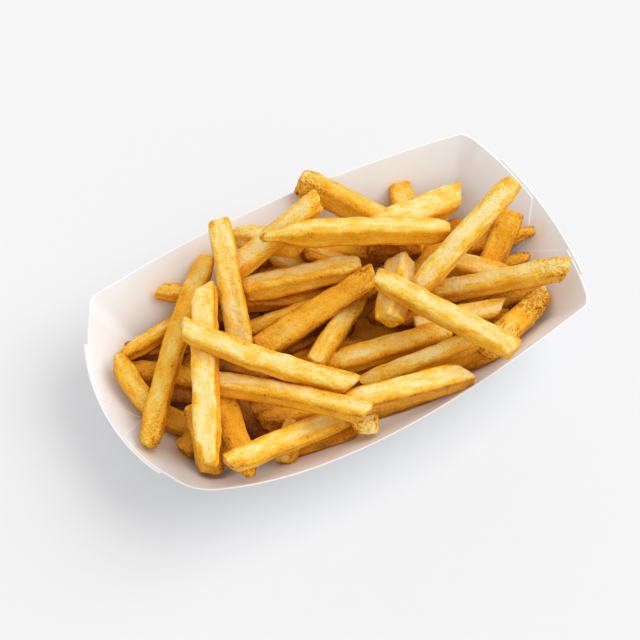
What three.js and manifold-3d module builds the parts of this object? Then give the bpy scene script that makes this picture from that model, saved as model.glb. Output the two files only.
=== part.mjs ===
// French fries heaped in an open tray of folded paperboard.
//
// Millimetres, +Z up. The origin is on the table under the middle of the tray,
// +X runs along the tray and +Y across it. The tray is one folded blank: a flat
// base, four leaning walls that bow out between their corners, and glue flaps
// that turn from the long walls onto the insides of the end walls.

import * as THREE from "three";
import { mergeVertices } from "three/addons/utils/BufferGeometryUtils.js";
import Module from "manifold-3d";

const wasm = await Module();
wasm.setup();

// ---------------------------------------------------------------- sizes

const BOARD = 0.5; // thickness of the paperboard
const HEIGHT = 40; // rim corners above the table
const RIM = { length: 184, width: 100, corner: 4.2 }; // between the folded corners
const BASE = { length: 140, width: 56, corner: 0.8 };

// Each wall's rim bows out and dips between its corners. A skew moves the
// widest place along the wall, in the direction that the walls are listed in.
const WALLS = {
  right: { bulge: 11.5, dip: 11.2, skew: 0, steps: 16 },
  far: { bulge: 11.4, dip: 6.5, skew: 0, steps: 20 },
  left: { bulge: 14.1, dip: 10.9, skew: 0, steps: 16 },
  near: { bulge: 11.8, dip: 6.4, skew: -0.29, steps: 20 },
};
const CORNER_STEPS = 2;
const WALL_ROWS = 5; // how many bands a wall is cut into from base to rim

// A flap lies on the inside of an end wall, from the corner to a slanted cut. It
// reaches this far at the rim and its cut leans to go further at the foot. Foot and
// head are shares of the wall's height, and bond sinks it into the wall it is glued to.
const FLAP = { reach: 38, lean: 9, foot: 0.05, head: 0.97, bond: 0.3 };

const HEAP_GAP = 0.4; // air between the heap and the board
const HEAP_FOOT = 20; // the heap fills the tray to this height
const HEAP_CREST = 40; // top of the packed fries under the loose ones
const HEAP_SHOULDER = 30; // how far the packed fries draw in towards the crest
const HEAP_STEPS = 5; // rings from the heap's foot to its crest
const HEADROOM = 40; // how far above the rim the loose fries may reach

const FRY = 9; // side of a cut fry
const FRY_TAPER = 0.72; // a fry's narrow end, as a share of its side
const FRY_TIP = 7; // length of the tapered tip
const WELD = 1e-4; // points nearer than this are one point

// ---------------------------------------------------------------- helpers

const { lerp, degToRad, radToDeg } = THREE.MathUtils;
const hump = (t) => 4 * t * (1 - t);

// A closed mesh through rings of equally many points, each ring turning
// anticlockwise when it is looked back at from the last ring.
function loft(rings) {
  const count = rings[0].length;
  const points = rings.flat();
  const faces = [];
  for (let r = 0; r + 1 < rings.length; r++) {
    for (let i = 0; i < count; i++) {
      const j = (i + 1) % count;
      const [a, b] = [r * count + i, r * count + j];
      faces.push(a, b, b + count, a, b + count, a + count);
    }
  }
  const last = (rings.length - 1) * count;
  const [startHub, endHub] = [points.length, points.length + 1];
  points.push(middle(rings[0]), middle(rings.at(-1)));
  for (let i = 0; i < count; i++) {
    const j = (i + 1) % count;
    faces.push(startHub, j, i, endHub, last + i, last + j);
  }
  return new THREE.BufferGeometry().setFromPoints(points).setIndex(faces);
}

function middle(points) {
  const sum = points.reduce((total, point) => total.add(point), new THREE.Vector3());
  return sum.divideScalar(points.length);
}

function toSolid(geometry) {
  const bare = geometry.clone();
  bare.deleteAttribute("normal");
  bare.deleteAttribute("uv");
  const merged = mergeVertices(bare, WELD);
  const vertProperties = merged.attributes.position.array;
  const triVerts = new Uint32Array(merged.index.array);
  return new wasm.Manifold(new wasm.Mesh({ numProp: 3, vertProperties, triVerts }));
}

function toGeometry(solid) {
  const { vertProperties, triVerts } = solid.getMesh();
  const geometry = new THREE.BufferGeometry();
  geometry.setAttribute("position", new THREE.BufferAttribute(vertProperties, 3));
  geometry.setIndex(new THREE.BufferAttribute(triVerts, 1));
  return geometry;
}

const join = (solids) => solids.reduce((whole, solid) => whole.add(solid));

// ---------------------------------------------------------------- the tray's walls

// The rectangle at a share of the way from base (0) to rim (1), drawn in by inset.
function rectangle(share, inset) {
  return {
    x: lerp(BASE.length, RIM.length, share) / 2 - inset,
    y: lerp(BASE.width, RIM.width, share) / 2 - inset,
    corner: lerp(BASE.corner, RIM.corner, share),
  };
}

// Where a wall starts and ends, and which way it faces, at one share of the height.
function wallEnds(name, share, inset) {
  const { x, y, corner } = rectangle(share, inset);
  return {
    right: { from: [x, corner - y], to: [x, y - corner], out: [1, 0] },
    far: { from: [x - corner, y], to: [corner - x, y], out: [0, 1] },
    left: { from: [-x, y - corner], to: [-x, corner - y], out: [-1, 0] },
    near: { from: [corner - x, -y], to: [x - corner, -y], out: [0, -1] },
  }[name];
}

function wallPoint(name, t, share, inset) {
  const { from, to, out } = wallEnds(name, share, inset);
  const { bulge, dip, skew } = WALLS[name];
  const bow = bulge * share * hump(t) * (1 + skew * (2 * t - 1));
  return new THREE.Vector3(
    lerp(from[0], to[0], t) + out[0] * bow,
    lerp(from[1], to[1], t) + out[1] * bow,
    share * (HEIGHT - dip * hump(t)),
  );
}

// One closed ring round all four walls, with a short bend at each corner.
function ring(share, inset) {
  const names = Object.keys(WALLS);
  return names.flatMap((name, k) => {
    const { steps } = WALLS[name];
    const wall = [];
    for (let i = 0; i <= steps; i++) wall.push(wallPoint(name, i / steps, share, inset));
    const next = wallPoint(names[(k + 1) % names.length], 0, share, inset);
    for (let i = 1; i < CORNER_STEPS; i++) {
      wall.push(wall.at(steps).clone().lerp(next, i / CORNER_STEPS));
    }
    return wall;
  });
}

const lean = Math.atan2((RIM.width - BASE.width) / 2, HEIGHT);
const SKIN = BOARD / Math.cos(lean); // the board's thickness, measured level

function flatRing(share, inset, z) {
  return ring(share, inset).map((point) => point.setZ(z));
}

// The shares of the height at which a wall is measured, from base to rim.
const SHARES = Array.from({ length: WALL_ROWS + 1 }, (_, row) => row / WALL_ROWS);

function traySolid() {
  const outside = SHARES.map((share) => ring(share, 0));
  const inside = SHARES.slice(1).map((share) => ring(share, SKIN));
  const floor = flatRing(BOARD / HEIGHT, SKIN, BOARD);
  const shell = toSolid(loft([...outside, ...inside.reverse(), floor]));
  const flaps = ["right", "left"].flatMap((wall) => [
    flapSolid(wall, false),
    flapSolid(wall, true),
  ]);
  return join([shell, ...flaps]);
}

// A flap from the wall's first corner, or from its last one, on the wall's own steps.
// Each section across it goes up the side that shows and down the side that is glued.
function flapSolid(wall, atLast) {
  const length = RIM.width - 2 * RIM.corner;
  const { steps } = WALLS[wall];
  const whole = Math.floor((FLAP.reach / length) * steps);
  const upright = [FLAP.foot, ...SHARES.slice(1, -1), FLAP.head];
  const cut = (share) => (FLAP.reach + FLAP.lean * (1 - share)) / length;
  const sections = [];
  for (let i = 0; i <= whole + 1; i++) {
    const points = upright.map((share) => {
      const along = i > whole ? cut(share) : i / steps;
      return [atLast ? 1 - along : along, share];
    });
    const shown = points.map(([t, share]) => wallPoint(wall, t, share, 2 * SKIN));
    const glued = points.map(([t, share]) => wallPoint(wall, t, share, SKIN - FLAP.bond));
    sections.push([...shown, ...glued.reverse()]);
  }
  if (atLast) sections.reverse();
  return toSolid(loft(sections));
}

// ---------------------------------------------------------------- the fries

// A straight-cut fry along X with its thin end forward.
function fry(length, side) {
  const square = (x, half) => [
    new THREE.Vector3(x, -half, -half),
    new THREE.Vector3(x, half, -half),
    new THREE.Vector3(x, half, half),
    new THREE.Vector3(x, -half, half),
  ];
  const half = side / 2;
  return loft([
    square(-length / 2, half),
    square(length / 2 - FRY_TIP, half),
    square(length / 2, half * FRY_TAPER),
  ]);
}

// A fry laid with its middle at x, y, z: heading turns it from +X towards +Y, and
// rise lifts its thin end above its blunt one by that many millimetres.
function laidFry(x, y, z, heading, rise, length, side = FRY) {
  const geometry = fry(length, side);
  geometry.rotateY(-Math.asin(rise / length));
  geometry.rotateZ(degToRad(heading));
  geometry.translate(x, y, z);
  return toSolid(geometry);
}

// The fries that lie loose on top, as [x, y, z, heading, rise, length].
const TOP_FRIES = [
  [-68, 8, 46, 51, 5, 82],
  [-62, -8, 49, 63, -3, 74],
  [-36, 22, 53, 108, 5, 58],
  [-39, -17, 54, 133, 4, 76],
  [-30, -26, 45, 137, 3, 72],
  [-40, -45, 42, -8, 6, 62],
  [5, -50, 41, -6, -4, 52],
  [15, 13, 59, -28, 0, 74],
  [58, -5, 56, 22, 3, 66],
  [32, -31, 52, -53, -7, 60],
  [61, -26, 47, 167, -4, 58],
  [-11, -3, 49, 10, 4, 58],
  [-8, 15, 49, -14, 4, 48],
  [23, 38, 48, -50, -8, 46],
  [44, 28, 47, 176, -5, 56],
  [16, -14, 44, 48, 8, 52],
  [30, -42, 38, -12, 3, 56],
  [56, -41, 34, 16, -6, 50],
  [-52, 28, 38, 5, 5, 60],
  [68, 12, 40, 60, 4, 40],
  [-79, -4, 33, 106, 3, 46],
];

// Courses of fries round the heap, from its foot up: each fry lies beside the wall,
// drawn in from it by inset and turned off its line, to one side and the other.
const COURSES = [
  { count: 16, height: 23, length: 52, inset: 9, turn: 22 },
  { count: 12, height: 32, length: 60, inset: 20, turn: 38 },
  { count: 9, height: 41, length: 64, inset: 31, turn: 60 },
];
const STAGGER = 3; // how much a fry lies above or below its course
const SIZES = [8.5, 9.5, 8, 9];

function courseFries({ count, height, length, inset, turn }) {
  const { x, y } = rectangle(HEAP_FOOT / HEIGHT, inset);
  return Array.from({ length: count }, (_, i) => {
    const angle = (2 * Math.PI * i) / count;
    const [cos, sin] = [Math.cos(angle), Math.sin(angle)];
    const side = i % 2 ? 1 : -1;
    const heading = radToDeg(Math.atan2(y * cos, -x * sin)) + side * turn;
    const z = height + STAGGER * ((i % 3) - 1);
    const rise = side * STAGGER;
    return laidFry(x * cos, y * sin, z, heading, rise, length, SIZES[i % SIZES.length]);
  });
}

// The fries packed below: they fill the tray's foot and round over to a crest.
function packedSolid() {
  const inset = 2 * SKIN + HEAP_GAP;
  const foot = BOARD + HEAP_GAP;
  const share = HEAP_FOOT / HEIGHT;
  const rings = [flatRing(foot / HEIGHT, inset, foot)];
  for (let i = 0; i <= HEAP_STEPS; i++) {
    const angle = (Math.PI / 2) * (i / HEAP_STEPS);
    const drawn = HEAP_SHOULDER * (1 - Math.cos(angle));
    const z = lerp(HEAP_FOOT, HEAP_CREST, Math.sin(angle));
    rings.push(flatRing(share, inset + drawn, z));
  }
  return toSolid(loft(rings));
}

// The room inside the walls, carried straight up above the rim.
function trayRoom() {
  const inset = 2 * SKIN + HEAP_GAP;
  const foot = BOARD + HEAP_GAP;
  const rim = ring(1, inset);
  const above = rim.map((point) => point.clone().setZ(point.z + HEADROOM));
  return toSolid(loft([flatRing(foot / HEIGHT, inset, foot), rim, above]));
}

function heapSolid() {
  const coursed = COURSES.flatMap(courseFries);
  const loose = TOP_FRIES.map((row) => laidFry(...row));
  return join([packedSolid(), ...coursed, ...loose]).intersect(trayRoom());
}

// ---------------------------------------------------------------- the part

function piece(name, solid, look) {
  const mesh = new THREE.Mesh(toGeometry(solid), new THREE.MeshStandardMaterial(look));
  mesh.name = name;
  return mesh;
}

const group = new THREE.Group();
group.add(piece("carton", traySolid(), { color: 0xf3f1ee, roughness: 0.75, metalness: 0 }));
group.add(piece("fries_heap", heapSolid(), { color: 0xe6ac4b, roughness: 0.6, metalness: 0 }));

// The walls bow out unequally, so the corners' middle is a little off the whole's.
group.position.set(
  (WALLS.left.bulge - WALLS.right.bulge) / 2,
  (WALLS.near.bulge - WALLS.far.bulge) / 2,
  0,
);

export default group;
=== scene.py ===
# %% [markdown]
# # French fries in a folded paperboard tray
#
# A portion of straight-cut fries lies in an open tray folded from one sheet of
# white board. Two things matter: some fifty fries that show, each a little bent,
# tapered and browned in its own way, and thin board with crisp white edges. The
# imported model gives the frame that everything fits.

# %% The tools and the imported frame
import math
from collections import namedtuple

import bpy
import numpy as np
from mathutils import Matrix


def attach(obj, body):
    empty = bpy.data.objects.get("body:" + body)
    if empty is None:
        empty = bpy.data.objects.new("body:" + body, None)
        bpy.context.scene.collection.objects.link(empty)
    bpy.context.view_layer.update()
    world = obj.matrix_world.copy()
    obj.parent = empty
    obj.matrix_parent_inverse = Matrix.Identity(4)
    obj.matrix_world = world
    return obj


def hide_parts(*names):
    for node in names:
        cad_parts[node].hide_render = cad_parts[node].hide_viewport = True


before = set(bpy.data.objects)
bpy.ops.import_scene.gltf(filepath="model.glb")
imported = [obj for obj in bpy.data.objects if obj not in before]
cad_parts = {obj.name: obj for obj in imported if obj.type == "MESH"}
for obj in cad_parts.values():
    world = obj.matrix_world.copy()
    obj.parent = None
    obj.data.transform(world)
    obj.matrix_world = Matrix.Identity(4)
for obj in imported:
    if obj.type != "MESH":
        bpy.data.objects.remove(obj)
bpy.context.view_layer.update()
MM = 0.001

# %% [markdown]
# ## The camera
#
# The tray is looked at from above its near side. A long lens keeps its two ends
# nearly alike in size. The camera comes first, because the loose fries are laid
# along its lines of sight.

# %% A camera above the near side
VIEW_ELEVATION = math.radians(59.62)
VIEW_AZIMUTH = math.radians(-28.44)
VIEW_DISTANCE = 685.1 * MM
LENS, SENSOR = 90.0, 36.0  # millimetres of glass and of sensor
PICTURE = 640  # pixels along each side
TRAY_MIDDLE = np.array([1.3, 0.2, 0.0]) * MM
TRAY_PIXEL = np.array([339.43, 350.26])  # where the tray's middle shows

TOWARDS_EYE = np.array([
    math.sin(VIEW_AZIMUTH) * math.cos(VIEW_ELEVATION),
    -math.cos(VIEW_AZIMUTH) * math.cos(VIEW_ELEVATION),
    math.sin(VIEW_ELEVATION),
])
TO_THE_RIGHT = np.array([math.cos(VIEW_AZIMUTH), math.sin(VIEW_AZIMUTH), 0.0])
UPWARDS = np.cross(TOWARDS_EYE, TO_THE_RIGHT)
EYE = TRAY_MIDDLE + TOWARDS_EYE * VIEW_DISTANCE
PIXELS_PER_SLOPE = PICTURE * LENS / SENSOR


def add_object(name, data):
    """A new object in the scene."""
    thing = bpy.data.objects.new(name, data)
    bpy.context.scene.collection.objects.link(thing)
    return thing


def add_camera():
    lens = bpy.data.cameras.new("camera")
    lens.lens, lens.sensor_width = LENS, SENSOR
    middle = PICTURE / 2
    lens.shift_x = (middle - TRAY_PIXEL[0]) / PICTURE
    lens.shift_y = (TRAY_PIXEL[1] - middle) / PICTURE
    camera = add_object("camera", lens)
    camera.rotation_euler = (math.pi / 2 - VIEW_ELEVATION, 0, VIEW_AZIMUTH)
    camera.location = EYE
    bpy.context.scene.camera = camera


add_camera()
print("camera at", np.round(EYE, 3).tolist())


# %% Where a pixel's line of sight meets a height
def seen_at(pixels, heights):
    """The points at these heights, in metres, that show at these pixels."""
    slopes = (np.asarray(pixels, float) - TRAY_PIXEL) / PIXELS_PER_SLOPE
    sights = TO_THE_RIGHT * slopes[..., :1] - UPWARDS * slopes[..., 1:] - TOWARDS_EYE
    share = (np.asarray(heights) - EYE[2]) / sights[..., 2]
    return EYE + sights * share[..., None]


print("the middle pixel on the table:", np.round(seen_at(TRAY_PIXEL, 0), 4).tolist())

# %% [markdown]
# ## Shape helpers
#
# Fries and board are slightly uneven. Smooth lumps give that: random numbers on a
# coarse lattice, blended in between, from a seed, so that every run is alike.

# %% Random lumps
DICE = np.random.default_rng(7)
CELLS = 24  # lattice points along each side, after which the lumps repeat
LATTICE = DICE.uniform(-1, 1, (CELLS, CELLS, CELLS))


def soft(x):
    """0 below 0, 1 above 1 and a smooth step in between."""
    x = np.clip(x, 0, 1)
    return x * x * (3 - 2 * x)


def unit(vectors):
    return vectors / np.linalg.norm(vectors, axis=-1, keepdims=True)


def lumps(points, size):
    """Smooth random values from -1 to 1 at points, about size metres across."""
    place = np.asarray(points) / size
    cell = np.floor(place).astype(int)
    part = soft(place - cell)
    total = 0.0
    for corner in np.ndindex(2, 2, 2):
        step = np.array(corner)
        weight = np.prod(np.where(step, part, 1 - part), axis=-1)
        total = total + weight * LATTICE[tuple(np.moveaxis((cell + step) % CELLS, -1, 0))]
    return total


print("lumps:", np.round(lumps(np.linspace(0, 0.05, 15).reshape(5, 3), 0.01), 2).tolist())


# %% A mesh object from points and faces
def add_piece(name, points, faces, material, sharp_above, **details):
    """A smooth mesh with sharp edges above an angle and values on its points."""
    mesh = bpy.data.meshes.new(name)
    mesh.from_pydata(np.asarray(points).tolist(), [], faces)
    mesh.polygons.foreach_set("use_smooth", [True] * len(mesh.polygons))
    mesh.set_sharp_from_angle(angle=math.radians(sharp_above))
    for detail, values in details.items():
        values = np.asarray(values, np.float32)
        kind, field = ("FLOAT", "value") if values.ndim == 1 else ("FLOAT_VECTOR", "vector")
        mesh.attributes.new(detail, kind, "POINT").data.foreach_set(field, values.ravel())
    mesh.materials.append(material)
    mesh.validate()
    triangles = sum(len(face) - 2 for face in faces)
    print(f"{name}: {len(mesh.vertices)} points, {triangles} triangles")
    return add_object(name, mesh)


def grid_faces(rows, columns, first=0, closed=False):
    """Quads between rows of points, each row closed round on itself or not."""
    faces = []
    for row in range(first, first + (rows - 1) * columns, columns):
        for here in range(columns if closed else columns - 1):
            there = (here + 1) % columns
            faces.append((row + here, row + there, row + columns + there, row + columns + here))
    return faces


# %% [markdown]
# ## Shader maths
#
# A finish is easiest to read as sums and products of masks. This small class
# wraps one socket of a node tree, so that an expression such as 1 - mask adds
# the Math nodes by itself. Colours go through Mix, because a Math node would
# turn them grey, and every other node comes from the method add.


# %% A socket that can be reckoned with
class Socket:
    def __init__(self, tree, socket=None):
        self.tree, self.socket = tree, socket

    def add(self, kind, settings=(), inputs=(), output=0):
        """A new node with settings, and with values or links on its sockets."""
        node = self.tree.nodes.new("ShaderNode" + kind)
        for name, value in dict(settings).items():
            setattr(node, name, value)
        for name, value in dict(inputs).items():
            if isinstance(value, Socket):
                self.tree.links.new(value.socket, node.inputs[name])
            else:
                node.inputs[name].default_value = value
        return Socket(self.tree, node.outputs[output] if len(node.outputs) else None)

    def maths(self, operation, first, second):
        return self.add("Math", {"operation": operation}, {0: first, 1: second})

    def __add__(self, other):
        return self.maths("ADD", self, other)

    def __sub__(self, other):
        return self.maths("SUBTRACT", self, other)

    def __rsub__(self, other):
        return self.maths("SUBTRACT", other, self)

    def __mul__(self, other):
        return self.maths("MULTIPLY", self, other)

    __radd__ = __add__
    __rmul__ = __mul__

    def between(self, low, high):
        """0 below low, 1 above high, and a smooth step in between."""
        inputs = {"Value": self, "From Min": low, "From Max": high}
        return self.add("MapRange", {"interpolation_type": "SMOOTHSTEP"}, inputs)

    def mix(self, first, second):
        """The first colour where this mask is 0 and the second where it is 1."""
        inputs = {0: self, 6: first, 7: second}
        return self.add("Mix", {"data_type": "RGBA"}, inputs, output=2)

    def detail(self, name, output=2):
        """A value that the mesh carries on its points."""
        return self.add("Attribute", {"attribute_name": name}, output=output)

    def noise(self, place, size, detail=2.0, roughness=0.5):
        """Cloudy values about 0.5, size metres across."""
        inputs = {"Vector": place, "Scale": 1 / size, "Detail": detail, "Roughness": roughness}
        return self.add("TexNoise", (), inputs)


def set_stops(ramp, stops):
    """Sets a ramp to pairs of a place from 0 to 1 and a colour."""
    while len(ramp.elements) < len(stops):
        ramp.elements.new(1.0)
    for element, (place, colour) in zip(ramp.elements, stops):
        element.position, element.color = place, (*colour, 1.0)


def shader_input(material, name):
    return material.node_tree.nodes["Principled BSDF"].inputs[name.replace("_", " ")]


def new_material(name, **constants):
    """A material with constants on its shader's own sockets."""
    material = bpy.data.materials.new(name)
    material.use_nodes = True
    for socket, value in constants.items():
        shader_input(material, socket).default_value = value
    return material, Socket(material.node_tree)


def plug(material, **fields):
    """Links fields to the sockets of a material's shader."""
    for socket, field in fields.items():
        material.node_tree.links.new(field.socket, shader_input(material, socket))


# %% [markdown]
# ## The board's finish
#
# Uncoated food board is white, matt and faintly fibrous. A plain white would look
# like plastic, so two sizes of noise tint it slightly and a fine bump breaks up
# the light. Hot fries leave fat where they touch it, and near them the board is
# also painted a warm shade that stands for their shadow and the light they throw
# back. A value on its points, which is measured when the fries have been laid,
# says where.


# %% White paperboard
BOARD_WHITE = (0.92, 0.942, 0.955, 1)
BOARD_SHADE = (0.89, 0.907, 0.915, 1)
# The warm tint near the fries is fat and painted warm shade together.
BOARD_GREASE_AND_WARM_SHADE = (0.92, 0.85, 0.73, 1)
FIBRE = 0.9 * MM
CLOUD = 14 * MM


def paperboard():
    material, sheet = new_material("paperboard", Roughness=0.72, Specular_IOR_Level=0.35)
    place = sheet.add("TexCoord", output=3)
    clouds = sheet.noise(place, CLOUD, detail=3.0)
    fibres = sheet.noise(place, FIBRE, detail=4.0, roughness=0.65)
    shade = clouds.between(0.35, 0.75) * 0.5 + fibres.between(0.45, 0.8) * 0.35
    # One value near the fries gives both a fat stain and painted warm shade.
    grease_and_warm_shade = sheet.detail("grease_and_warm_shade") * (0.75 + clouds * 0.4)
    relief = {"Strength": 0.18, "Distance": 0.12 * MM, "Height": fibres}
    plug(
        material,
        Base_Color=grease_and_warm_shade.mix(shade.mix(BOARD_WHITE, BOARD_SHADE), BOARD_GREASE_AND_WARM_SHADE),
        Normal=sheet.add("Bump", (), relief),
    )
    return material


board_finish = paperboard()

# %% [markdown]
# ## The tray
#
# The blank is a base, two long walls and two end panels. Each long wall turns the
# corners and ends in glue flaps inside the end panels. The walls lean out, and
# their rims bow out and dip between the folds. One formula gives a point of any
# wall, from how far along it and how far up it the point is.

# %% The sizes of the tray
BOARD = 0.5 * MM
HEIGHT = 40 * MM
RIM = {"length": 184 * MM, "width": 100 * MM, "corner": 4.6 * MM}
BASE = {"length": 140 * MM, "width": 56 * MM, "corner": 0.8 * MM}
WALLS = {  # anticlockwise, seen from above
    "right": {"out": (1, 0), "bulge": 11.3 * MM, "dip": 11.4 * MM, "skew": 0.136, "full": 0.08},
    "far": {"out": (0, 1), "bulge": 11.4 * MM, "dip": 6.5 * MM, "skew": 0.0, "full": 0.0},
    "left": {"out": (-1, 0), "bulge": 12.4 * MM, "dip": 10.1 * MM, "skew": -0.172, "full": 0.18},
    "near": {"out": (0, -1), "bulge": 10.6 * MM, "dip": 6.1 * MM, "skew": -0.42, "full": 0.2},
}
END_WALLS = ("right", "left")
LEAN = math.atan2((RIM["width"] - BASE["width"]) / 2, HEIGHT)
SKIN = BOARD / math.cos(LEAN)  # the board's thickness, measured level


def hump(t):
    return 4 * t * (1 - t)


def blend(low, high, share):
    return low + (high - low) * share


def rectangle(share):
    """Half sizes and corner fold at a share of the height."""
    return (
        blend(BASE["length"], RIM["length"], share) / 2,
        blend(BASE["width"], RIM["width"], share) / 2,
        blend(BASE["corner"], RIM["corner"], share),
    )


def directions(name):
    """Level directions out of a wall and along it."""
    out = np.array(WALLS[name]["out"])
    return out, np.array([-out[1], out[0]])


def wall_bow(name, t):
    """How far a wall's rim bows out at t from 0 to 1 along it."""
    wall, bow = WALLS[name], hump(t)
    return wall["bulge"] * bow * (1 + wall["full"] * (1 - bow)) * (1 + wall["skew"] * (2 * t - 1))


def wall_point(name, t, share, inset=0.0):
    """Points of a wall's outside, or inset from it, with t from 0 to 1 along it."""
    t, share, inset = np.broadcast_arrays(t, share, inset)
    x, y, corner = rectangle(share)
    away, half = (x, y) if name in END_WALLS else (y, x)
    away = away - inset + wall_bow(name, t) * share
    along = (half - inset - corner) * (2 * t - 1)
    out, onwards = directions(name)
    level = away[..., None] * out + along[..., None] * onwards
    height = share * (HEIGHT - WALLS[name]["dip"] * hump(t))
    return np.append(level, height[..., None], axis=-1) + TRAY_MIDDLE


print("highest corner of the rim:", np.round(wall_point("far", 0.0, 1.0) / MM, 1).tolist())

# %% [markdown]
# Each panel is a thick sheet: a grid of points on its outside, the same grid set
# in by the board's thickness, and real faces round the edge, which show as the
# crisp white line of cut board.


# %% Thick sheets
def sheet_mesh(outside, inside):
    """Points and faces of a closed sheet between two grids of points."""
    rows, columns = outside.shape[:2]
    points = np.concatenate([outside.reshape(-1, 3), inside.reshape(-1, 3)])
    back = rows * columns
    faces = grid_faces(rows, columns)
    faces += [face[::-1] for face in grid_faces(rows, columns, back)]
    number = np.arange(back).reshape(rows, columns)
    sides = [number[0], number[1:, -1], number[-1, -2::-1], number[-2:0:-1, 0]]
    border = np.concatenate(sides).tolist()
    for here, there in zip(border, border[1:] + border[:1]):
        faces.append((there, here, here + back, there + back))
    return points, faces


def joined(meshes):
    """Several lists of points and faces as one."""
    points, faces = [], []
    for more_points, more_faces in meshes:
        start = sum(len(p) for p in points)
        points.append(more_points)
        faces += [tuple(start + corner for corner in face) for face in more_faces]
    return np.concatenate(points), faces


FOLD = 1.2 * MM  # how far a crease rounds the board, on either side of it
FOLD_STEPS = 4
ROWS = 20
WAVER = 0.25 * MM  # how far the board strays from a true surface
WAVE = 38 * MM


def curve(first, corner, last, turn):
    """Points of a curve that rounds a corner."""
    return first * (1 - turn) ** 2 + corner * 2 * turn * (1 - turn) + last * turn**2


def folded_rows(name, points_at, depth):
    """Rows of a wall from the base, round its crease and up to the rim."""
    crease = points_at(BOARD / HEIGHT if depth else 0.0, depth)
    upright = np.stack([points_at(share, depth) for share in np.linspace(FOLD / HEIGHT, 1, ROWS)])
    foot = crease - np.append(directions(name)[0], 0) * FOLD
    turn = np.linspace(0, 1, FOLD_STEPS + 1)[:-1, None, None]
    return np.concatenate([curve(foot, crease, upright[0], turn), upright])


def unlevel(points):
    """Moves board points a little, but not at the base."""
    rise = np.clip(points[..., 2:] / HEIGHT, 0, 1)
    return points + WAVER * rise * lumps(points, WAVE)[..., None] * [1, 1, 0]


print("board is", BOARD / MM, "mm thick, its folds", FOLD / MM, "mm")

# %% [markdown]
# The end panels stand outside. Their side edges start at the corners of the base
# and end well short of the rim's corners, so that the flaps behind them show.

# %% End panels
PANEL_SHORT = 12 * MM  # from a panel's rim to each corner
PANEL_COLUMNS = 30


def end_length(share):
    """How long the end walls are at a share of the height."""
    _, y, corner = rectangle(share)
    return 2 * (y - corner)


def end_panel(name):
    def row(share, depth):
        short = PANEL_SHORT * share / end_length(share)
        t = short + (1 - 2 * short) * np.linspace(0, 1, PANEL_COLUMNS)
        return wall_point(name, t, share, depth)

    return sheet_mesh(*(unlevel(folded_rows(name, row, depth)) for depth in (0.0, SKIN)))


# %% [markdown]
# A long wall is one strip from the cut end of one flap, round both corners and to
# the cut end of the other flap. Where it turns onto an end panel it moves in by
# the board's thickness. The flaps end a little below the rim, and their cut ends
# slant outwards to the foot. One corner is bent rather than creased, so its fold
# is wider.

# %% Long walls with their glue flaps
FLAP_REACH = {"right": (32 * MM, 26 * MM), "left": (35 * MM, 35 * MM)}  # at its end, at its start
FLAP_SLANT = {"right": 22 * MM, "left": 9 * MM}
FLAP_FOOT, FLAP_HEAD = 0.05, 0.982  # shares of the wall's height
FLAP_MOST = 0.49  # of its end panel, at most
FLAP_COLUMNS, CORNER_COLUMNS, WALL_COLUMNS = 18, 6, 64
SOFT_CORNER = ("left", False)
SOFT_FOLD, CRISP_FOLD = 7 * MM, 0.4 * MM  # how far from its corner a fold begins
CORNER_FILL = 0.4  # how far a fold goes out to its corner, as a share
BUTT = 0.05 * MM  # air between a flap and its panel


def soft_fold(end, at_start, share):
    """How far from a corner its fold begins."""
    return (SOFT_FOLD if (end, at_start) == SOFT_CORNER else CRISP_FOLD) * share**2


def flap_rows(name, at_start, depth):
    """A flap's grid inside an end panel, from its cut end to its corner."""
    share = np.linspace(FLAP_FOOT, FLAP_HEAD, FOLD_STEPS + ROWS)[:, None]
    reach = FLAP_REACH[name][at_start] + FLAP_SLANT[name] * (1 - share)
    cut = np.minimum(reach / end_length(share), FLAP_MOST)
    fold = soft_fold(name, at_start, share) / end_length(share)
    along = cut + (fold - cut) * np.linspace(0, 1, FLAP_COLUMNS)
    return wall_point(name, along if at_start else 1 - along, share, depth + SKIN + BUTT)


def rounded_corner(flap, wall):
    """The columns of the fold from a flap's edge to a wall's."""
    turn = np.linspace(0, 1, CORNER_COLUMNS + 2)[1:-1, None]
    corner = np.stack([flap[..., 0], wall[..., 1], (flap[..., 2] + wall[..., 2]) / 2], axis=-1)
    return curve(flap, blend((flap + wall) / 2, corner, CORNER_FILL), wall, turn)


def long_wall(name, before, after):
    """One long wall with its flaps on the end walls before and after it."""
    def row(share, depth):
        length = 2 * rectangle(share)[0]
        first = soft_fold(before, False, share) / length
        last = soft_fold(after, True, share) / length
        return wall_point(name, np.linspace(first, 1 - last, WALL_COLUMNS), share, depth)

    layers = []
    for depth in (0.0, SKIN):
        wall = folded_rows(name, row, depth)
        first = flap_rows(before, False, depth)
        last = flap_rows(after, True, depth)[:, ::-1]
        enter = rounded_corner(first[:, -1:], wall[:, :1])
        leave = rounded_corner(last[:, :1], wall[:, -1:])[:, ::-1]
        layers.append(unlevel(np.concatenate([first, enter, wall, leave, last], axis=1)))
    return sheet_mesh(*layers)


# %% The base, and the tray as one piece
BASE_POINTS = 9  # along each of its sides
BOARD_SHARP, FRY_SHARP = 35, 60  # degrees at which edges look sharp


def base_plate():
    """A flat slab inside the creases."""
    x, y, _ = rectangle(0.0)
    across = np.linspace(-1, 1, BASE_POINTS)
    flat = np.stack(np.meshgrid(across * (x - FOLD), across * (y - FOLD)), axis=-1)
    low = np.append(flat, flat[..., :1] * 0, axis=-1) + TRAY_MIDDLE
    return sheet_mesh(low + [0, 0, BOARD], low)


def make_tray():
    panels = [end_panel("right"), end_panel("left"), base_plate()]
    panels += [long_wall("far", "right", "left"), long_wall("near", "left", "right")]
    points, faces = joined(panels)
    tray = add_piece("folded_tray", points, faces, board_finish, BOARD_SHARP)
    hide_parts("carton")
    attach(tray, "root")
    return tray


tray = make_tray()

# %% [markdown]
# Fries press against the board but never go through it. So there is a measure of
# how far points are inside each wall, and a step that pushes points back in.

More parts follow.
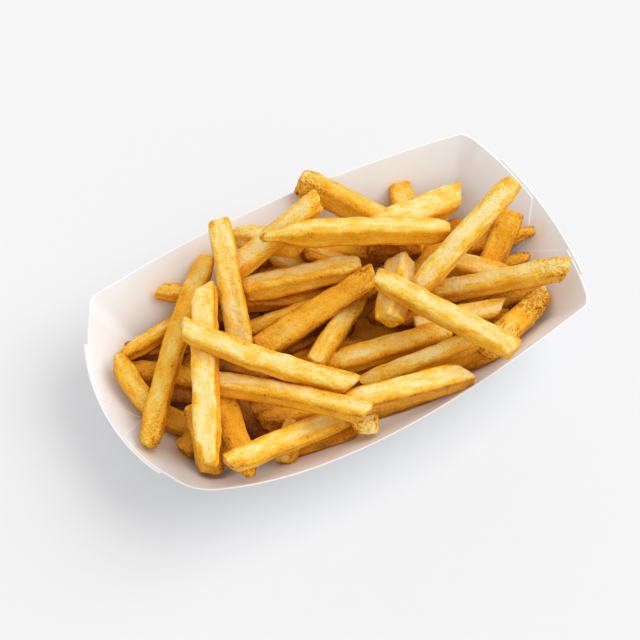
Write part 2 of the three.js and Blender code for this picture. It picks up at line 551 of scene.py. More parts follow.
# %% Staying inside the tray
CLEAR = 0.15 * MM  # air between the fries and the board
WALL_ROUNDS = 3  # each brings the place on a wall nearer
OVER_RIM = 1.2  # the share of its height up to which a wall counts
PUSH_ENDS, PUSH_FADE = 1.06, 0.04  # shares of the height


def wall_gaps(points):
    """How far points are inside each wall, and at what share of its height."""
    place = points - TRAY_MIDDLE
    level, height = place[..., :2], place[..., 2]
    for name, wall in WALLS.items():
        out, onwards = directions(name)
        share = np.clip(height / HEIGHT, 0, 1)
        for _ in range(WALL_ROUNDS):
            x, y, corner = rectangle(share)
            half = (y if name in END_WALLS else x) - corner
            t = np.clip(0.5 + level @ onwards / (2 * half), 0, 1)
            share = np.clip(height / (HEIGHT - wall["dip"] * hump(t)), 0, OVER_RIM)
        reach = (x - 2 * SKIN - BUTT) if name in END_WALLS else (y - SKIN)
        yield name, (reach + wall_bow(name, t) * share - level @ out) * math.cos(LEAN), share


def board_room(points):
    """How far points are inside the walls, where they are below the rim."""
    gaps = [np.where(share > 1, 1.0, gap) for _, gap, share in wall_gaps(points)]
    return np.min(gaps, axis=0)


def kept_in(points):
    """Points moved out of the walls and up from the base."""
    points = points.copy()
    for name, gap, share in list(wall_gaps(points)):
        push = np.clip(CLEAR - gap, 0, None) / math.cos(LEAN)
        push = push * np.clip((PUSH_ENDS - share) / PUSH_FADE, 0, 1)
        points[..., :2] -= push[..., None] * directions(name)[0]
    points[..., 2] = np.maximum(points[..., 2], BOARD + CLEAR)
    return points


print("room at the tray's middle:", np.round(board_room(TRAY_MIDDLE + [0, 0, 0.02]) / MM, 1), "mm")

# %% [markdown]
# ## One fry
#
# A fry is a square rod cut from a potato, with flat faces and soft edges. It bends,
# its faces sink, and its ends are cut askew or taper off. It is made as rings of
# points along a line. Each ring is the same rounded square, sized, sheared and
# moved a little, and the lumps roughen the result. Every point also carries what
# the finish needs: how near it is to an edge or an end, how brown the fry is,
# with painted shade added on its faces that don't look up, and a place in the
# fry's own frame, so that the grain follows the fry.


# %% The rounded square of a fry's section
def cut_section(side_points):
    """Places on a square from -1 to 1, and directions outwards."""
    places, outwards = [], []
    for quarter in range(4):
        turns = (quarter / 2 + np.array([0, 0.25, 0.5])) * math.pi
        normals = np.stack([np.cos(turns), np.sin(turns)], axis=-1)
        corner = np.sign(normals[1])
        following = np.array([-corner[1], corner[0]])
        shares = np.linspace(0, 1, side_points + 2)[1:-1]
        places += [corner] * 3 + [blend(corner, following, share) for share in shares]
        outwards += [*normals] + [normals[2]] * side_points
    return np.array(places), np.array(outwards)


print("a section has", len(cut_section(4)[0]), "points")

# %% [markdown]
# The cuts are named by how the knife went. Slant is a cut's slope across the fry,
# positive where the left side is longer, and dive is its slope from top to bottom,
# positive where the top is longer. An end is also narrower, by a share of the
# width over a length, and ragged by some amount.

# %% The ways an end is cut
Cut = namedtuple("Cut", "slant dive narrow over bevel ragged")


def cut(slant, dive, narrow, over, bevel, ragged):
    return Cut(slant, dive, narrow, over * MM, bevel * MM, ragged * MM)


CUTS = {
    "square": cut(0.12, 0.1, 0.93, 8, 1.1, 0.5),
    "round": cut(0.1, 0.15, 0.78, 9, 2.4, 0.4),
    "left": cut(0.75, 0.1, 0.88, 8, 1.0, 0.5),
    "right": cut(-0.75, 0.1, 0.88, 8, 1.0, 0.5),
    "point": cut(0.5, -0.6, 0.42, 20, 0.9, 0.4),
    "torn": cut(0.3, 0.25, 0.9, 6, 1.0, 1.3),
    "taper": cut(0.3, -0.2, 0.6, 13, 1.2, 0.4),
    "nose": cut(0.1, -0.3, 0.55, 9, 2.2, 0.4),
}
EDGE = 1.9 * MM  # how round a fry's long edges are
BEVEL_TURNS = np.radians([30, 60, 90])
CAP_RINGS = [0.66, 0.33]
FEWEST_RINGS = 4


# %% Where a fry's rings go
def end_rings(bevel):
    """Depth, inset and scale of the rings of one end."""
    turns = [(1 - math.sin(turn), 1 - math.cos(turn)) for turn in BEVEL_TURNS]
    rings = [(bevel * depth, bevel * inset, 1.0) for depth, inset in turns]
    return rings + [(0.0, bevel, scale) for scale in CAP_RINGS]


def ring_places(length, step, first, last):
    """Place, inset and scale of every ring, from end to end."""
    count = int(round((length - first.bevel - last.bevel) / step))
    body = np.linspace(first.bevel, length - last.bevel, max(FEWEST_RINGS, count))
    rings = end_rings(first.bevel)[::-1] + [(along, 0.0, 1.0) for along in body[1:-1]]
    rings += [(length - depth, inset, scale) for depth, inset, scale in end_rings(last.bevel)]
    return np.array(rings).T


# %% A straight fry
SWELL, SWELL_SIZE = 0.06, 17 * MM  # change of width, as a share
TAPER = 0.05  # from end to end, as a share
DISH = 0.3 * MM  # how deep its faces sink between their edges
DISH_CHANGE, DISH_SIZE = 0.8, 11 * MM
SKEW, KEYSTONE = 0.1, 0.07  # how far its section is from square
ROUNDEST = 0.7  # an edge's rounding at most, as a share of the half width
ROUGH = [(8 * MM, 0.4 * MM), (3.4 * MM, 0.24 * MM), (1.4 * MM, 0.11 * MM)]  # sizes, depths
BLISTER_SIZE, BLISTER = 2.5 * MM, 0.6 * MM
CRUST_REACH, TIP_REACH = 24 * MM, 7 * MM  # how far from the ends they go
CUT_SPREAD, CUT_BLEND = 2.1, 4 * MM  # how far a cut's lean reaches
RAG_SIZE, RAG_GRAIN = 3.2 * MM, [0.3, 1, 1]
TONE_CHANGE, TONE_SIZE = 0.07, 15 * MM
NEXT_LUMPS = np.array([1.7, 0.9, 0.4]) * 60 * MM  # from one fry's lumps to the next one's


def straight_fry(length, half, ends, look, number, step, side_points):
    """Rings of points of a straight fry, and what they carry for the finish."""
    along, inset, scale = ring_places(length, step, *ends)
    from_ends = np.stack([along, length - along])
    places, outwards = cut_section(side_points)
    quirks = LATTICE[number % CELLS, number // CELLS + 3]
    offset = NEXT_LUMPS * (number + 1)

    # Two half sizes for every ring. A factor on a place gives each use its own lumps.
    beside = np.stack([along, along * 0, along * 0], -1) + offset
    swell = np.stack([lumps(beside * own, SWELL_SIZE) for own in (1, 1.3)], -1)
    lengthwise = 2 * along / length - 1
    sizes = half * (1 + SWELL * swell + TAPER * lengthwise[:, None] * quirks[:2])
    for end, gap in zip(ends, from_ends):
        sizes = sizes * (1 - (1 - end.narrow) * soft(1 - gap / end.over))[:, None]
    sizes = sizes - inset[:, None]
    edge = np.minimum(EDGE * look.soft, ROUNDEST * sizes.min(axis=1))[:, None, None]
    flat = places[None] * (sizes[:, None] - edge) + outwards[None] * edge
    flat[..., 0] *= 1 + KEYSTONE * quirks[2] * places[:, 1]
    flat[..., 0] += SKEW * quirks[3] * flat[..., 1]
    flat *= scale[:, None, None]

    # How near each point is to a long edge: 1 there and 0 in the middle of a face.
    near_edge = np.abs(places.prod(axis=1))
    local = np.append(flat[..., :1] * 0 + along[:, None, None], flat, axis=-1)
    crust = soft(1 - from_ends / CRUST_REACH) * np.array(look.crust)[:, None]
    crust = np.minimum(crust.max(axis=0), 1.0)  # a high share reaches further along
    crust = np.broadcast_to(crust[:, None], flat.shape[:2])
    out = -DISH * look.dish * (1 - near_edge**2)
    out = out * (1 + DISH_CHANGE * lumps(local + offset, DISH_SIZE))
    for size, depth in ROUGH:
        out = out + depth * lumps(local + offset, size)
    out = out + BLISTER * crust * lumps(local + offset * 2, BLISTER_SIZE)
    local[..., 1:] += outwards[None] * (out * scale[:, None])[..., None]

    # Each end leans over to its cut, less and less away from it, and is ragged.
    for end, gap, sign in zip(ends, from_ends, (-1, 1)):
        steepest = max(abs(end.slant), abs(end.dive))
        spread = CUT_SPREAD * half.max() * steepest + CUT_BLEND
        lean = soft(1 - gap / spread)[:, None]
        push = local[..., 1] * end.slant + local[..., 2] * end.dive
        push = push + end.ragged * lumps(local * RAG_GRAIN + offset * 3, RAG_SIZE)
        local[..., 0] += sign * lean * push
    tip = sum(soft(1 - gap / TIP_REACH) for gap in from_ends)[:, None]
    tip = np.maximum(np.broadcast_to(tip, crust.shape), 1 - scale[:, None])
    tone = look.tone + TONE_CHANGE * lumps(beside * 1.7, TONE_SIZE)[:, None] + 0 * crust
    details = {
        "edge": near_edge**3 * scale[:, None], "tip": tip, "tone": tone, "crust": crust,
        "grain": local + offset,
    }
    return local, outwards, details


# %% A bent fry
BESIDE = 4 * MM  # between the points that give a fry's direction


def bent(local, outwards, line, roll, twist):
    """Carries a straight fry's points over to a line, and tells how far each looks up."""
    reach = np.concatenate([[0], np.cumsum(np.linalg.norm(np.diff(line, axis=0), axis=1))])
    length = reach[-1]

    def on_line(place):
        return np.stack([np.interp(place, reach, line[:, k]) for k in range(3)], -1)

    inside = np.clip(local[..., 0], 0, length)
    ahead, behind = (on_line(np.clip(inside + gap, 0, length)) for gap in (BESIDE, -BESIDE))
    forward = unit(ahead - behind)
    left = unit(np.cross([0.0, 0.0, 1.0], forward))
    upright = np.cross(forward, left)
    turn = np.radians(roll + twist * (inside / length - 0.5))[..., None]
    across = left * np.cos(turn) + upright * np.sin(turn)
    above = upright * np.cos(turn) - left * np.sin(turn)
    beyond = (local[..., 0] - inside)[..., None]
    points = on_line(inside) + forward * beyond
    points = points + across * local[..., 1:2] + above * local[..., 2:3]
    return points, across[..., 2] * outwards[:, 0] + above[..., 2] * outwards[:, 1]


FINENESS = {  # step between rings, and points along a side
    "low": (1.0 * MM, 6), "middle": (0.65 * MM, 9), "top": (0.65 * MM, 9), "inside": (2 * MM, 3),
}


def tube_faces(rings, columns):
    """Faces of a tube of rings, closed by fans round two middle points."""
    hubs = rings * columns
    final = hubs - columns
    faces = grid_faces(rings, columns, closed=True)
    faces += [((c + 1) % columns, c, hubs) for c in range(columns)]
    faces += [(final + c, final + (c + 1) % columns, hubs + 1) for c in range(columns)]
    return faces


def with_middles(rings):
    """Values on rings as one list, and the means of the first and last ring."""
    middles = np.stack([rings[0].mean(axis=0), rings[-1].mean(axis=0)])
    return np.concatenate([rings.reshape(-1, *rings.shape[2:]), middles])


def fry_mesh(line, wide, thick, roll, twist, cuts, look, number, kind):
    """Points, faces and details of one fry along a line of points."""
    ends = [CUTS[name] for name in cuts]
    length = np.linalg.norm(np.diff(line, axis=0), axis=1).sum()
    half = np.array([wide, thick]) / 2
    local, outwards, details = straight_fry(length, half, ends, look, number, *FINENESS[kind])
    points, upwards = bent(local, outwards, line, roll, twist)
    # Faces that don't look up are set further along the browning scale: painted shade on the sides.
    details["tone"] = details["tone"] + look.side * (1 - soft(upwards))
    details = {name: with_middles(field) for name, field in details.items()}
    return with_middles(kept_in(points)), tube_faces(*points.shape[:2]), details


print("cuts:", ", ".join(CUTS))

# %% [markdown]
# ## How the fries come to rest
#
# A fry is taken as a row of balls along its line, so that touching is a matter of
# distances. Balls may come a little nearer than touching, so where fries cross
# they also go a little into each other. Each loose fry comes down along the
# camera's lines of sight, so it stays where it is seen, as low as the earlier
# fries, the walls and the base let it. What holds up each of its balls gives a
# least height there, and of all slopes above these the lowest is taken.

# %% The heap so far
BALL_GAP = 2.5 * MM
SQUEEZE = {"low": 0.86, "middle": 0.9, "top": 0.94}  # 1 is touching
LIFT = 1 * MM  # the step in which heights and slopes are tried
CEILING = 90 * MM
PRESSED = 0.55  # nearest that a fry's middle comes to the board, in radii
RIM_BALL, RIM_BALLS = 0.3 * MM, 60  # the rims hold fries up too
CORE_HALF = np.array([62, 25]) * MM
CORE_HEIGHT = 9 * MM
BED_HEIGHT = 19 * MM  # how high the fries inside the heap reach
BED_ROUNDS = 4  # each brings a sight's meeting with the bed nearer
MOUND_POWER = 3.2  # 2 is an ellipse, and more is squarer

rims = [wall_point(name, np.linspace(0, 1, RIM_BALLS), 1.0, SKIN) for name in WALLS]
balls = np.concatenate(rims)
ball_sizes = np.full(len(balls), RIM_BALL)


def mound(points, height):
    """Height of a mound's top at points."""
    spot = (points[..., :2] - TRAY_MIDDLE[:2]) / CORE_HALF
    away = np.sum(np.abs(spot) ** MOUND_POWER, axis=-1)
    return height * np.sqrt(np.clip(1 - away, 0, 1))


def least_heights(pixels, radius, squeeze):
    """How low a ball may come down each pixel's line of sight."""
    foot = seen_at(pixels, 0.0)
    along = unit(seen_at(pixels, CEILING) - foot)
    offset = balls[None] - foot[:, None]
    travel = np.einsum("pbk,pk->pb", offset, along)
    miss = (offset**2).sum(-1) - travel**2
    touch = (ball_sizes + radius) * squeeze
    rise = travel + np.sqrt(np.clip(touch**2 - miss, 0, None))
    held = np.where(miss < touch**2, rise * along[:, 2:], 0.0)
    bed = BED_HEIGHT
    for _ in range(BED_ROUNDS):
        bed = mound(seen_at(pixels, bed), BED_HEIGHT)
    return np.maximum(held.max(axis=1), np.maximum(bed, BOARD) + radius)


def rest(pixels, radius, squeeze, steepest):
    """The line of a fry at rest, given the pixels along it."""
    share = np.linspace(-0.5, 0.5, len(pixels))
    least = least_heights(pixels, radius, squeeze)
    lowest, line = CEILING, None
    for slope in np.arange(-steepest, steepest + LIFT, LIFT):
        middle = (least - slope * share).max()
        while middle < lowest:
            points = seen_at(pixels, middle + slope * share)
            if board_room(points[1:-1]).min() > PRESSED * radius:
                lowest, line = middle, points
            middle += LIFT
    return line


def keep(line, radius):
    """Adds a fry's line to the heap."""
    global balls, ball_sizes
    balls = np.concatenate([balls, line])
    ball_sizes = np.concatenate([ball_sizes, np.full(len(line), radius)])


# %% [markdown]
# ## The loose fries
#
# These are the fries that show, from the lowest to the highest, with some short
# ones that fill and prop. Each row gives the pixels of a fry's two ends, its width
# and thickness in millimetres, its look and the cuts that aren't square. Roll turns
# it, in degrees, and bend moves its middle, by pixels. Tilt is the steepest slope
# at which it may lie, as a share of its length.

# %% Looks
Look = namedtuple("Look", "tone crust soft dish side")  # the last field is how much darker the faces that don't look up are painted: painted shade
LOOKS = {
    "cream": Look(0.03, (0.1, 0.12), 1.0, 0.7, 0.3),
    "pale": Look(0.07, (0.1, 0.12), 1.0, 0.7, 0.32),
    "light": Look(0.12, (0.2, 0.15), 1.0, 0.9, 0.32),
    "mid": Look(0.18, (0.25, 0.2), 1.1, 1.0, 0.3),
    "tipped": Look(0.29, (0.1, 0.6), 1.1, 1.0, 0.3),
    "gold": Look(0.39, (0.3, 0.5), 1.0, 1.0, 0.25),
    "crust": Look(0.13, (0.5, 1.0), 1.1, 0.5, 0.25),
    "toasted": Look(0.27, (0.4, 1.0), 1.1, 0.5, 0.14),
    "crusted": Look(0.34, (4.0, 4.0), 1.1, 0.5, 0.14),
    # A pale top with much darker sides: painted shade on the sides.
    "browned": Look(0.07, (0.1, 0.1), 1.0, 0.7, 0.62),
    # brown, deep and dark are darker tones for fries low in the heap and in its gaps: painted
    # shade.
    "brown": Look(0.48, (0.3, 0.3), 1.0, 0.7, 0.2),
    "deep": Look(0.63, (0.2, 0.2), 1.0, 0.5, 0.15),
    "dark": Look(0.88, (0.2, 0.2), 1.0, 0.5, 0.15),
}
loose = []


Fry = namedtuple(
    "Fry", "kind name ends wide thick look first last roll bend tilt",
    defaults=("square", "square", 0, (0, 0), 0.4),
)


def lay(*values, **details):
    """Notes a loose fry of the kind that is being laid."""
    loose.append(Fry(kind, *values, **details))


# %% Fries low in the heap
kind = "low"  # of the rows up to the next kind
lay("deep left", (124, 371, 198, 381), 10, 8, "brown", "round")
lay("deep left under", (150, 392, 200, 398), 10, 8, "dark")
lay("deep far left", (128, 352, 190, 346), 8, 8, "deep")
lay("left gap", (200, 322, 262, 312), 9, 8, "dark")
lay("near left low", (150, 413, 216, 438), 9, 8, "gold")
lay("corner end", (182, 450, 236, 410), 9, 8, "gold", roll=8)
lay("deep middle", (226, 398, 262, 437), 8, 8, "dark", last="left")
lay("near gap", (212, 424, 225, 466), 8, 8, "deep")
lay("deep crust", (210, 362, 270, 377), 8, 8, "dark", "torn")
lay("near wall brown", (288, 452, 356, 429), 10, 8, "deep", roll=4)
lay("right under", (388, 392, 500, 351), 8.5, 8, "brown", last="round")
lay("near wall right", (374, 413, 452, 385), 8.5, 8, "gold", last="round")
lay("right deep", (498, 224, 452, 264), 9, 8, "dark")
lay("right dark", (476, 314, 532, 291), 8.5, 8, "deep", last="round")
lay("far under", (240, 262, 312, 262), 9, 8, "deep")
lay("first prop", (383, 308, 404, 314), 8, 8, "deep")
lay("second prop", (384, 306, 404, 311), 8, 8, "deep")
lay("grey stub", (262, 421, 335, 407), 9, 8, "gold", "torn")
lay("orange stub", (284, 463, 295, 424), 10, 8, "mid", "round", roll=5)
lay("left tip", (158, 291, 222, 298), 7.5, 7, "mid", "right", roll=-8)
lay("under middle", (240, 302, 335, 296), 8.5, 8, "deep")
lay("middle prop", (262, 279, 345, 263), 8, 8, "brown")
lay("mid sliver", (238, 335, 315, 306), 7, 7, "mid")
lay("left stub", (270, 260, 325, 270), 9, 7.5, "mid", "left", roll=5, tilt=0.15)
lay("under top brown", (300, 252, 388, 257), 8.5, 8, "brown", "torn", "round", roll=-8)
lay("under top dark", (370, 253, 432, 247), 8.5, 8, "deep")
lay("under top pale", (305, 250, 345, 262), 7, 7, "mid", "torn", "round")
lay("far left short", (234, 236, 300, 245), 9.4, 9, "pale", "round", roll=-20)
lay("under right pale", (440, 243, 411, 279), 7, 7, "gold")
lay("right tip", (462, 250, 534, 230), 10.5, 8, "gold", last="point", roll=-8)
lay("right tip low", (445, 281, 530, 256), 6, 5.5, "gold", last="round")
lay("under pale deep", (440, 326, 508, 318), 8, 8, "brown")
lay("upright end", (400, 188, 412, 250), 10.5, 9, "mid", roll=8)

# %% Fries in the middle of the heap
kind = "middle"
lay("far crusty", (390, 226, 300, 181), 9.8, 10.4, "toasted", roll=24)
lay("left top short", (123, 357, 194, 311), 7, 7, "mid", "round")
lay("left end", (117, 353, 160, 414), 9, 8, "mid", "nose", roll=3, bend=(-4, 3))
lay("near diagonal", (216, 384, 251, 475), 9, 8, "gold", last="nose")
lay("near left end", (195, 404, 212, 473), 10.4, 8.5, "gold", last="torn")
lay("far right brown", (512, 212, 487, 270), 11, 8.5, "gold", roll=-5)
lay("right pale low", (436, 256, 508, 276), 9, 7.5, "pale", roll=5)
lay("right pale deep", (415, 326, 502, 308), 9, 8, "light", last="left", roll=5, tilt=0.15)
lay("right crusty low", (486, 351, 543, 296), 10, 8, "crusted", last="torn", roll=5)
lay("mid pale lower", (325, 367, 450, 330), 9, 8, "light", "round", roll=5)
lay("mid pale near", (364, 384, 478, 339), 8, 7.5, "light", "torn", roll=5)
lay("mid cross", (314, 364, 359, 297), 9, 7.5, "mid", roll=8)
lay("left of middle", (243, 291, 361, 265), 9.4, 8.8, "pale", last="round", roll=-12)
lay("far right flat", (375, 231, 459, 196), 12.8, 8.5, "pale", last="left", roll=5)
lay("far left slope", (230, 275, 319, 200), 9.6, 8, "pale", last="torn", roll=5)

# %% Fries on top
kind = "top"
lay("middle gold", (260, 350, 374, 275), 10.8, 8.5, "gold", last="torn", roll=18)
lay("front left crust", (228, 464, 356, 412), 9.2, 8, "mid", "torn", roll=10)
lay("front stub", (360, 403, 366, 431), 10.5, 8, "crust", last="torn")
lay("front right pale", (348, 405, 465, 375), 10, 9, "browned", last="right", roll=-4)
lay("right crusty", (432, 294, 569, 267), 9.5, 8.5, "crust", last="torn", roll=-5)
lay("left long", (208, 257, 149, 447), 9.4, 8, "tipped", "round", "round", roll=8, bend=(-6, 0))
lay("left upright", (219, 220, 242, 350), 9.6, 8.4, "pale", roll=3)
lay("front long", (196, 381, 367, 413), 8.2, 7.6, "light", last="torn", roll=-8, bend=(0, -3))
lay("left pointed", (204, 290, 209, 464), 10, 8, "pale", "left", "taper", roll=3, bend=(-2, 0))
lay("steep stub", (401, 262, 390, 321), 11, 10, "cream", roll=42, tilt=0.9)
lay("top long", (264, 237, 450, 231), 9.2, 9.6, "light", "point", "round", roll=-14, bend=(0, -2.5))
lay("right long", (515, 181, 419, 288), 9.5, 7.5, "cream", "round", roll=-4, bend=(-3, 3))
lay("right wide", (377, 279, 515, 350), 9.6, 8.4, "pale", "torn")
lay("across front", (183, 328, 354, 384), 9, 8.2, "pale", "torn", "left", roll=5, bend=(0, 6))


# %% Letting the loose fries down
LOOSE_TWIST = 8  # degrees from end to end
FEWEST_BALLS = 4


def let_down(fry, number):
    """Settles one fry, keeps it in the heap and gives its mesh."""
    start, end = np.reshape(fry.ends, (2, 2))
    length = np.linalg.norm(seen_at(end, HEIGHT) - seen_at(start, HEIGHT))
    share = np.linspace(0, 1, max(FEWEST_BALLS, int(length / BALL_GAP)))[:, None]
    pixels = start + (end - start) * share + np.array(fry.bend) * hump(share)
    wide, thick = fry.wide * MM, fry.thick * MM
    radius = min(wide, thick) / 2
    line = rest(pixels, radius, SQUEEZE[fry.kind], fry.tilt * length)
    keep(line, radius)
    heights = np.round(line[[0, -1], 2] / MM, 1).tolist()
    print(f"{fry.name}: {length / MM:.0f} mm long, ends at {heights}")
    size, cuts = (wide, thick, fry.roll, LOOSE_TWIST), (fry.first, fry.last)
    return fry_mesh(line, *size, cuts, LOOKS[fry.look], number, fry.kind)


# %% [markdown]
# ## The finish of fried potato
#
# A fry is pale yellow on its faces, golden at its edges, which dry first, and
# brown and blistered where the crust is thick, mostly at its ends. All of that is
# one scale of browning, so the masks are added up and one ramp gives the colour.
# The same scale also carries painted shade: faces that don't look up, fries low in
# the heap and the core are set further along it, so they come out darker.
# Fat keeps the surface a little glossy.

# %% Browning as one scale
BROWNING = [
    (0.00, (0.975, 0.78, 0.35)),
    (0.18, (0.97, 0.64, 0.115)),
    (0.38, (0.95, 0.48, 0.02)),
    (0.60, (0.84, 0.345, 0.009)),
    (0.80, (0.49, 0.18, 0.006)),
    (1.00, (0.20, 0.05, 0.003)),
]
DRAWN = (0.35, 1, 1)  # draws marks out along the fry
RELIEF = 0.34 * MM


def fried_potato():
    material, fry = new_material(
        "fried_potato", Roughness=0.5, Specular_IOR_Level=0.22,
        Subsurface_Weight=0.1, Subsurface_Scale=1.0,
        Subsurface_Radius=(1.2 * MM, 0.7 * MM, 0.3 * MM),
    )
    edge, tip, tone, crust = (fry.detail(name) for name in ("edge", "tip", "tone", "crust"))
    grain = fry.detail("grain", output=1)
    drawn = fry.add("VectorMath", {"operation": "MULTIPLY"}, {0: grain, 1: DRAWN})
    clouds = fry.noise(drawn, 6 * MM).between(0.3, 0.7)
    streaks = fry.noise(drawn, 2.4 * MM, 3.0, 0.6).between(0.3, 0.7)
    specks = fry.noise(grain, 0.8 * MM, 2.0, 0.6).between(0.35, 0.65)
    dots = fry.noise(grain, 1.3 * MM, 1.0).between(0.66, 0.74)
    blisters = fry.noise(grain, 1.25 * MM, 2.0, 0.6).between(0.4, 0.6)
    mottle = (clouds - 0.5) * 0.25 + (streaks - 0.5) * 0.2 + (specks - 0.5) * 0.16 + dots * 0.3
    mottle = mottle + edge * (0.06 + streaks * 0.18) + tip * (0.02 + clouds * 0.12)
    blistered = crust * ((blisters - 0.5) * 0.36 + (specks - 0.5) * 0.28 + 0.02)
    # This sum is the browning together with the painted shade that comes in with it.
    brown = tone + mottle * (1.1 - tone * 0.9) + blistered
    colour = brown.add("ValToRGB", (), {0: brown})
    set_stops(colour.socket.node.color_ramp, BROWNING)
    fine = specks * 0.45 + streaks * 0.35 + blisters * (0.25 + crust)
    relief = {"Strength": 0.6, "Distance": RELIEF, "Height": fine}
    plug(
        material,
        Base_Color=colour,
        Roughness=0.46 + specks * 0.2,
        Normal=fry.add("Bump", (), relief),
    )
    return material


fry_finish = fried_potato()


# %% The heap's core, and how its pieces are added
def add_fries(name, mesh):
    points, faces, details = mesh
    piece = add_piece(name, points, faces, fry_finish, FRY_SHARP, **details)
    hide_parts("fries_heap")
    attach(piece, "root")


CORE_RINGS, CORE_COLUMNS = 20, 64
CORE_FOOT, CORE_TOP = 0.6, 0.04  # widths of its end rings
CORE_LUMPS, CORE_LUMP_SIZE = 1.2 * MM, 9 * MM
# The core is painted dark: painted shade deep in the heap.
CORE_PAINTED_SHADE_TONE = 0.7


def core_mesh():
    """A closed mound, as rings from its foot to its top."""
    around = np.linspace(0, 2 * math.pi, CORE_COLUMNS, endpoint=False)
    circle = np.stack([np.cos(around), np.sin(around)], axis=-1)
    outline = np.sign(circle) * np.abs(circle) ** (2 / MOUND_POWER) * CORE_HALF
    rings = [np.insert(outline * CORE_FOOT, 2, BOARD, axis=1)]
    for share in np.linspace(1, CORE_TOP, CORE_RINGS):
        level = CORE_HEIGHT * math.sqrt(1 - share**MOUND_POWER) + BOARD
        rings.append(np.insert(outline * share, 2, level, axis=1))
    points = np.array(rings) + TRAY_MIDDLE
    points[1:] += CORE_LUMPS * lumps(points[1:], CORE_LUMP_SIZE)[..., None]
    points[1:, :, 2] = np.maximum(points[1:, :, 2], BOARD)
    every = with_middles(points)
    zero = np.zeros(len(every))
    details = {"edge": zero, "tip": zero, "tone": zero + CORE_PAINTED_SHADE_TONE, "crust": zero, "grain": every}
    return every, tube_faces(*points.shape[:2]), details


def gathered(parts):
    """Several fries' points, faces and details as one mesh."""
    points, faces = joined([(p, f) for p, f, _ in parts])
    details = {name: np.concatenate([d[name] for _, _, d in parts]) for name in parts[0][2]}
    return points, faces, details


add_fries("heap_core", core_mesh())

# %% [markdown]
# ## The fries inside
#
# Fries that hardly show make a bed on the core, and at the end a few more fill the
# spaces that are left. Each is tried at a random place, turned more or less along
# the tray. If it has room there, it sinks straight down until it rests.

# %% Fries inside the heap
INSIDE_HALF = np.array([72, 32]) * MM  # half sizes of where they are tried
INSIDE_LOWEST = 5 * MM
INSIDE_RADIUS = 4.1 * MM
INSIDE_WIDTHS = 7.8 * MM, 9 * MM
INSIDE_PRESSED = 0.85  # in radii
INSIDE_HEADING, INSIDE_ROLL, INSIDE_TWIST = 24, 20, 10  # degrees
INSIDE_BEND = 0.15  # as a share of the length
INSIDE_CUTS = ("square", "round", "left", "right")
SHALLOW = 14 * MM  # a fry under this height shows so little that it may lie anywhere
TRIES = 4000


def has_room(line):
    """True if a fry along this line has room, or squeezes others only a little."""
    if (line[:, 2] - np.maximum(mound(line, CORE_HEIGHT), BOARD)).min() < INSIDE_RADIUS:
        return False
    if board_room(line).min() < INSIDE_PRESSED * INSIDE_RADIUS:
        return False
    gaps = np.linalg.norm(balls[None] - line[:, None], axis=-1)
    return bool((gaps > (ball_sizes + INSIDE_RADIUS) * SQUEEZE["low"]).all())


def sink(first, last, bend, start):
    """The line of a fry that sinks from a height, or None without room there."""
    share = np.linspace(0, 1, int(np.linalg.norm(last - first) / BALL_GAP))[:, None]
    flat = first + (last - first) * share + bend * hump(share)

    def line_at(heights):
        return np.append(flat, blend(*heights, share), axis=1)

    ends = np.array([start, start])
    if not has_room(line_at(ends)):
        return None
    for move in ([1, 1], [1, 0], [0, 1], [1, 0], [0, 1]):
        while has_room(line_at(ends - np.array(move) * LIFT)):
            ends = ends - np.array(move) * LIFT
    return line_at(ends)


def inside_fries(lengths, highest, over, first_number):
    """Fries that sink into the heap and end less than this over the bed's top."""
    parts = []
    for _ in range(TRIES):
        spot = DICE.uniform(-1, 1, 2) * INSIDE_HALF + TRAY_MIDDLE[:2]
        heading = math.radians(DICE.normal(0, INSIDE_HEADING))
        length = DICE.uniform(*lengths) * MM
        start = DICE.uniform(INSIDE_LOWEST, highest)
        quirk, size, roll, tone = DICE.uniform(size=4)
        along = np.array([math.cos(heading), math.sin(heading)]) * length / 2
        bend = np.array([-along[1], along[0]]) * (quirk - 0.5) * INSIDE_BEND
        line = sink(spot - along, spot + along, bend, start)
        if line is None:
            continue
        top = line[:, 2] + INSIDE_RADIUS
        if np.minimum(top - mound(line, BED_HEIGHT), top - SHALLOW).max() > over:
            continue
        keep(line, INSIDE_RADIUS)
        cuts = [INSIDE_CUTS[int(len(INSIDE_CUTS) * share)] for share in (quirk, size)]
        # Fries inside the heap get dark tones: painted shade.
        look = Look(0.53 + 0.2 * tone, (0.2, 0.2), 1.0, 0.7, 0.2)
        wide = blend(*INSIDE_WIDTHS, size)
        turns = INSIDE_ROLL * (2 * roll - 1), INSIDE_TWIST
        number = first_number + len(parts)
        parts.append(fry_mesh(line, wide, wide, *turns, cuts, look, number, "inside"))
    return parts


bed = inside_fries((34, 60), 24 * MM, 0.6 * MM, 100)
print(len(bed), "fries in the bed")

# %% The loose fries, kind by kind
for kind in ("low", "middle", "top"):
    add_fries(f"fries_{kind}", gathered([
        let_down(fry, number) for number, fry in enumerate(loose) if fry.kind == kind
    ]))

# %% More fries in the spaces that are left
filling = inside_fries((15, 40), 30 * MM, 4 * MM, 200)
print(len(filling), "fries more")
add_fries("fries_inside", gathered(bed + filling))

# %% [markdown]
# ## Fat and painted warm shade on the board
#
# Each inner point of the tray gets a value from how near the nearest fry is, and
# the board's finish turns it into a warm, darker tint: a fat stain, and also
# painted shade and bounced light from the fries. The outside stays white.

# %% How greasy the board is, and how much painted warm shade it gets
GREASE_AND_SHADE_REACH = 2.6 * MM  # how far from a fry the tint ends
AT_A_TIME = 500  # how many points are measured together


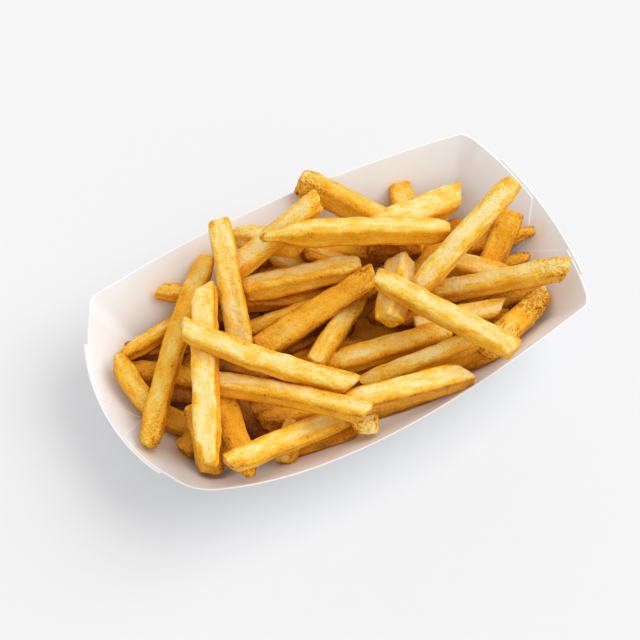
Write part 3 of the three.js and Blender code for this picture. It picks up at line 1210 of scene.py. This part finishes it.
def add_grease_and_warm_shade():
    mesh = tray.data
    spots = np.array([vertex.co for vertex in mesh.vertices])
    facing = np.array([vertex.normal for vertex in mesh.vertices])
    inner = ((TRAY_MIDDLE + [0, 0, HEIGHT] - spots) * facing).sum(axis=1) > 0
    fries = ball_sizes > RIM_BALL
    values = np.zeros(len(spots))
    for first in range(0, len(spots), AT_A_TIME):
        chunk = slice(first, first + AT_A_TIME)
        apart = np.linalg.norm(spots[chunk, None] - balls[None, fries], axis=-1)
        nearest = (apart - ball_sizes[fries]).min(axis=1)
        values[chunk] = soft(1 - nearest / GREASE_AND_SHADE_REACH) * inner[chunk]
    mesh.attributes.new("grease_and_warm_shade", "FLOAT", "POINT").data.foreach_set("value", values)
    print(f"{(values > 0.1).mean():.0%} of the board's points are greasy_and_warm_shaded")


add_grease_and_warm_shade()

# %% [markdown]
# ## Floor and light
#
# With too much light, white board and a white ground turn into the same flat
# white. So the ground is a light grey, which the light lifts to near white. One
# very large lamp to the right gives a shadow without an edge, and the even sky
# around fills it in.

# %% The ground
GROUND = (0.835, 0.832, 0.84, 1)
GROUND_SIDE = 8  # metres


def add_ground():
    matt = {"Roughness": 0.9, "Specular_IOR_Level": 0.2}
    material, _ = new_material("studio_ground", Base_Color=GROUND, **matt)
    bpy.ops.mesh.primitive_plane_add(size=GROUND_SIDE)
    ground = bpy.context.object
    ground.name = "ground"
    ground.data.materials.append(material)


add_ground()

# %% The sky and the lamp
SKY = 0.80
LAMP = {"strength": 1.3, "spread": 50, "azimuth": -12, "elevation": 48}


def add_light():
    world = bpy.data.worlds.new("studio")
    world.use_nodes = True
    sky = world.node_tree.nodes["Background"].inputs
    sky["Color"].default_value, sky["Strength"].default_value = (1, 1, 1, 1), SKY
    bpy.context.scene.world = world
    lamp = bpy.data.lights.new("lamp", "SUN")
    lamp.energy, lamp.angle = LAMP["strength"], math.radians(LAMP["spread"])
    sun = add_object("lamp", lamp)
    turn = math.radians(LAMP["azimuth"]) + math.pi / 2
    sun.rotation_euler = (math.pi / 2 - math.radians(LAMP["elevation"]), 0, turn)
    bpy.context.scene.view_settings.view_transform = "Standard"


add_light()
